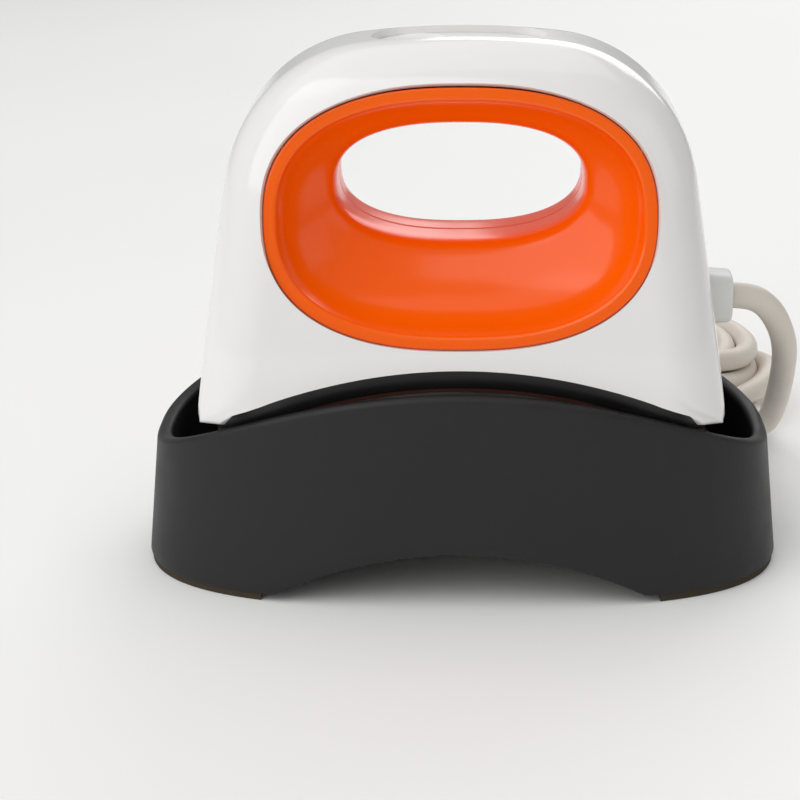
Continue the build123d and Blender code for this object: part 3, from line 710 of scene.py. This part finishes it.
def surface(name, color, other, rough, scale=900.0, coarse=60.0, bump=0.1, depth=0.05, metallic=0.0,
            coat=0.0, coatRough=0.05, ior=1.5, sheen=0.0):
    material = bpy.data.materials.new(name)
    material.use_nodes = True
    nodes, links = material.node_tree.nodes, material.node_tree.links
    shader = nodes["Principled BSDF"]
    grain = nodes.new("ShaderNodeGroup")
    grain.node_tree = fineGrain
    grain.inputs["Scale"].default_value = scale
    grain.inputs["Coarse"].default_value = coarse
    spread = nodes.new("ShaderNodeGroup")
    spread.node_tree = between
    spread.inputs["Low"].default_value, spread.inputs["High"].default_value = rough
    mix = nodes.new("ShaderNodeMix")
    mix.data_type = "RGBA"
    mix.inputs["A"].default_value = srgb(color)
    mix.inputs["B"].default_value = srgb(other)
    bumpNode = nodes.new("ShaderNodeBump")
    bumpNode.inputs["Strength"].default_value = bump
    bumpNode.inputs["Distance"].default_value = depth * mm
    links.new(grain.outputs["Mask"], mix.inputs["Factor"])
    links.new(grain.outputs["Mask"], spread.inputs["Mask"])
    links.new(grain.outputs["Height"], bumpNode.inputs["Height"])
    links.new(mix.outputs["Result"], shader.inputs["Base Color"])
    links.new(spread.outputs["Value"], shader.inputs["Roughness"])
    links.new(bumpNode.outputs["Normal"], shader.inputs["Normal"])
    shader.inputs["Metallic"].default_value = metallic
    shader.inputs["Coat Weight"].default_value = coat
    shader.inputs["Coat Roughness"].default_value = coatRough
    shader.inputs["IOR"].default_value = ior
    shader.inputs["Sheen Weight"].default_value = sheen
    return material


finishes = {
    "cradle_plastic": dict(color="#1f1e1f", other="#272627", rough=(0.46, 0.56), scale=1400, bump=0.55,
                           depth=0.12, ior=1.38),
    "pad_rubber": dict(color="#171614", other="#4a3d22", rough=(0.7, 0.85), scale=700, coarse=420, bump=0.3),
    "liner_fabric": dict(color="#1d1b1a", other="#2b2826", rough=(0.8, 0.95), scale=500, coarse=300, bump=0.6,
                         depth=0.2, sheen=0.2),
    "felt": dict(color="#8d8a83", other="#a3a098", rough=(0.85, 0.95), scale=400, coarse=200, bump=0.6,
                 depth=0.3),
    "screw_steel": dict(color="#a4a5a6", other="#8f9091", rough=(0.3, 0.42), scale=600, metallic=1.0),
    "shell_plastic": dict(color="#f1f0ee", other="#edecea", rough=(0.14, 0.18), scale=260, coarse=18,
                          bump=0.02, coat=0.4),
    "insert_plastic": dict(color="#ff6600", other="#fd6000", rough=(0.16, 0.20), scale=260, coarse=18,
                           bump=0.02, coat=0.05, ior=1.42),
    "collar_plastic": dict(color="#171717", other="#1e1e1e", rough=(0.34, 0.42), scale=1000, bump=0.15),
    "gasket_rubber": dict(color="#3f1a0f", other="#4a2113", rough=(0.5, 0.6), scale=700),
    "plate_metal": dict(color="#bcbcba", other="#aaaaa8", rough=(0.35, 0.5), scale=500, metallic=1.0,
                        bump=0.2),
    "plate_coating": dict(color="#2b2a29", other="#343231", rough=(0.35, 0.45), scale=900, bump=0.2),
    "element_metal": dict(color="#77736d", other="#5f5b56", rough=(0.4, 0.55), scale=500, metallic=1.0),
    "ceramic": dict(color="#e8e3d6", other="#dcd6c8", rough=(0.6, 0.75), scale=800, bump=0.2),
    "insulation": dict(color="#d9d6cf", other="#c9c6be", rough=(0.85, 0.95), scale=350, coarse=180, bump=0.7,
                       depth=0.3),
    "shield_metal": dict(color="#c6c7c7", other="#b8b9b9", rough=(0.25, 0.4), scale=400, metallic=1.0),
    "board": dict(color="#1d5a34", other="#174a2b", rough=(0.3, 0.45), scale=500, coarse=250),
    "part_plastic": dict(color="#1f2023", other="#2a2b2e", rough=(0.45, 0.6), scale=900),
    "relay_plastic": dict(color="#2f6db3", other="#2b64a6", rough=(0.3, 0.4), scale=700),
    "nylon": dict(color="#dad8ce", other="#cfcdc2", rough=(0.45, 0.55), scale=700),
    "wire_plastic": dict(color="#e9e6de", other="#dedbd2", rough=(0.45, 0.55), scale=700),
    "panel_plastic": dict(color="#ebebe9", other="#e6e6e4", rough=(0.22, 0.28), scale=600, bump=0.03,
                          coat=0.2),
    "button_plastic": dict(color="#f0f0ee", other="#e9e9e6", rough=(0.22, 0.28), scale=500, bump=0.03),
    "lamp_plastic": dict(color="#dfe6da", other="#d2dccd", rough=(0.2, 0.3), scale=500, coat=0.3),
    "spring_steel": dict(color="#b4b4b2", other="#a0a09e", rough=(0.25, 0.35), scale=500, metallic=1.0),
    "gland_plastic": dict(color="#e9e9e7", other="#e2e2df", rough=(0.32, 0.40), scale=800, bump=0.08),
    "cord_plastic": dict(color="#e2dacf", other="#dad1c5", rough=(0.42, 0.50), scale=700, coarse=90,
                         bump=0.12),
    "tie_plastic": dict(color="#1a1a1a", other="#242424", rough=(0.5, 0.65), scale=900, bump=0.3),
    "plug_plastic": dict(color="#dfd7cc", other="#d6cdc1", rough=(0.42, 0.50), scale=800, bump=0.12),
    "blade_brass": dict(color="#cdbd8c", other="#b9a874", rough=(0.25, 0.35), scale=500, metallic=1.0),
}
materials = {slot: surface(slot, **values) for slot, values in finishes.items()}

# the pieces made here, then the CAD pieces that show as they are
ownPieces = {
    "cord_plastic": [cordPiece], "cradle_plastic": [cradlePiece],
    "shell_plastic": [frontShell, rearShell, bossPiece],
    "insert_plastic": [frontInsert, rearInsert], "collar_plastic": [collarPiece],
    "gland_plastic": [glandPiece],
}
for slotName, pieces in ownPieces.items():
    for piece in pieces:
        piece.data.materials.append(materials[slotName])
for part in frame["record"]["subparts"]:
    data = frame["nodes"][part["node"]].data
    data.materials.clear()
    data.materials.append(materials[part["material_slot"]])
print("materials set")


# floor and light
stageValues = {
    "floor": 6.0, "floorColor": "#fcfcfb", "floorOther": "#fbfbfa", "world": 0.36,
    # name, place, aim, size, watts
    "lights": [
        ("keyLight", (-1.0, -1.0, 1.3), (0, 0, 0.08), (2.0, 2.0), 20),
        ("topLight", (-0.2, 0.3, 1.6), (0, 0, 0.08), (2.4, 1.6), 8),
        ("backLight", (0.5, 1.5, 0.9), (0, 0, 0.1), (1.2, 0.8), 6),
        ("sideLight", (1.4, -0.5, 0.8), (0, 0, 0.08), (1.0, 1.0), 1.5),
    ],
}


def addLight(name, place, aim, size, watts):
    data = bpy.data.lights.new(name, "AREA")
    data.shape = "RECTANGLE"
    data.size, data.size_y = size
    data.energy = watts
    light = bpy.data.objects.new(name, data)
    light.location = place
    away = Vector(place) - Vector(aim)
    light.rotation_euler = away.to_track_quat("Z", "Y").to_euler()
    bpy.context.scene.collection.objects.link(light)
    return light


def addStage():
    half = stageValues["floor"] / 2 / mm
    square = np.array([(-half, -half, 0), (half, -half, 0), (half, half, 0), (-half, half, 0)], float)
    floor = newObject("floor", square, [(0, 1, 2, 3)])
    paint = surface("floorPaint", stageValues["floorColor"], stageValues["floorOther"], (0.55, 0.65),
                    scale=30, coarse=4, bump=0.0)
    floor.data.materials.append(paint)
    world = bpy.data.worlds.new("studio")
    world.use_nodes = True
    background = world.node_tree.nodes["Background"]
    background.inputs["Color"].default_value = (1, 1, 1, 1)
    background.inputs["Strength"].default_value = stageValues["world"]
    bpy.context.scene.world = world
    [addLight(*light) for light in stageValues["lights"]]


addStage()
print("stage set")
